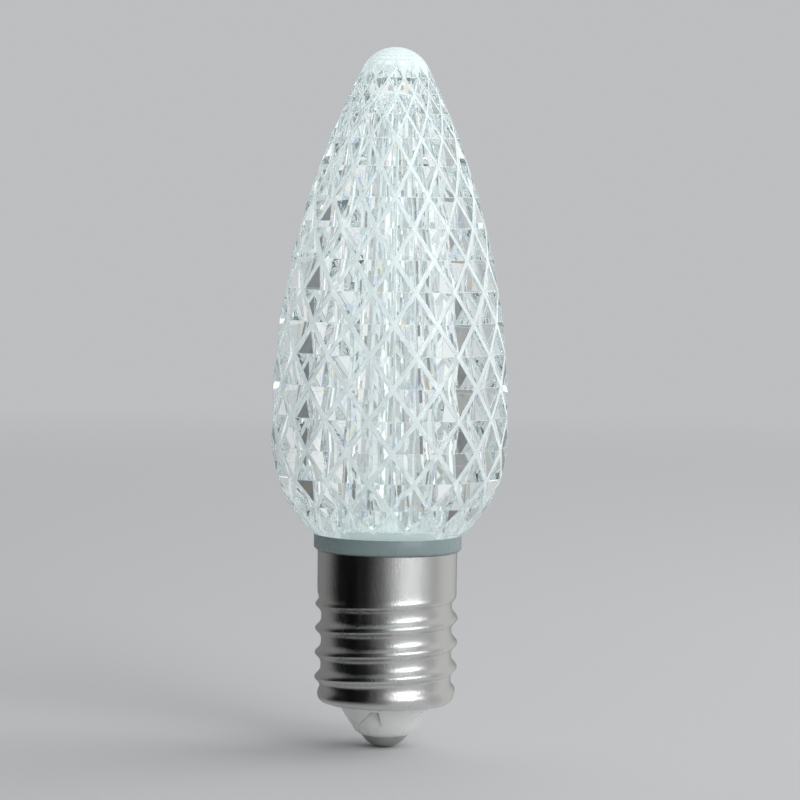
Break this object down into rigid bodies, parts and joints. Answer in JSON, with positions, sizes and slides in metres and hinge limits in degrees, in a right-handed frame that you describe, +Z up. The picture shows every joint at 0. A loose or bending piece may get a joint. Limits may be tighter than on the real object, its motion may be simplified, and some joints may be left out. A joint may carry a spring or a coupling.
{
  "type": "christmas light bulb",
  "caption": "Faceted tapered clear lamp with a collar, a rolled screw cap and a domed centre contact.",
  "frame": {"origin": "middle of the flat end of the centre contact, on the lamp's axis", "axes": "+Z up the lamp's axis from the contact to the globe's tip, -Y towards the front, +X to the right"},
  "size_m": [0.0272, 0.0272, 0.0805],
  "materials": {
    "globe": "clear moulded plastic",
    "collar": "satin moulded plastic",
    "shell": "nickel plated",
    "insulator": "satin",
    "contact": "tinned",
    "board": "white solder mask",
    "emitter": "phosphor in a white package",
    "rectifier": "moulded",
    "resistor": "lacquered",
    "lead": "tinned wire",
    "solder": "solder"
  },
  "bodies": {
    "root": {"globe": "globe", "neck_collar": "collar", "screw_shell": "shell", "insulator": "insulator", "centre_contact": "contact", "led_board": "board", "led_1": "emitter", "led_2": "emitter", "led_3": "emitter", "bridge_rectifier": "rectifier", "series_resistor": "resistor", "shell_lead": "lead", "solder_joint_1": "solder", "solder_joint_2": "solder"}
  },
  "joints": []
}
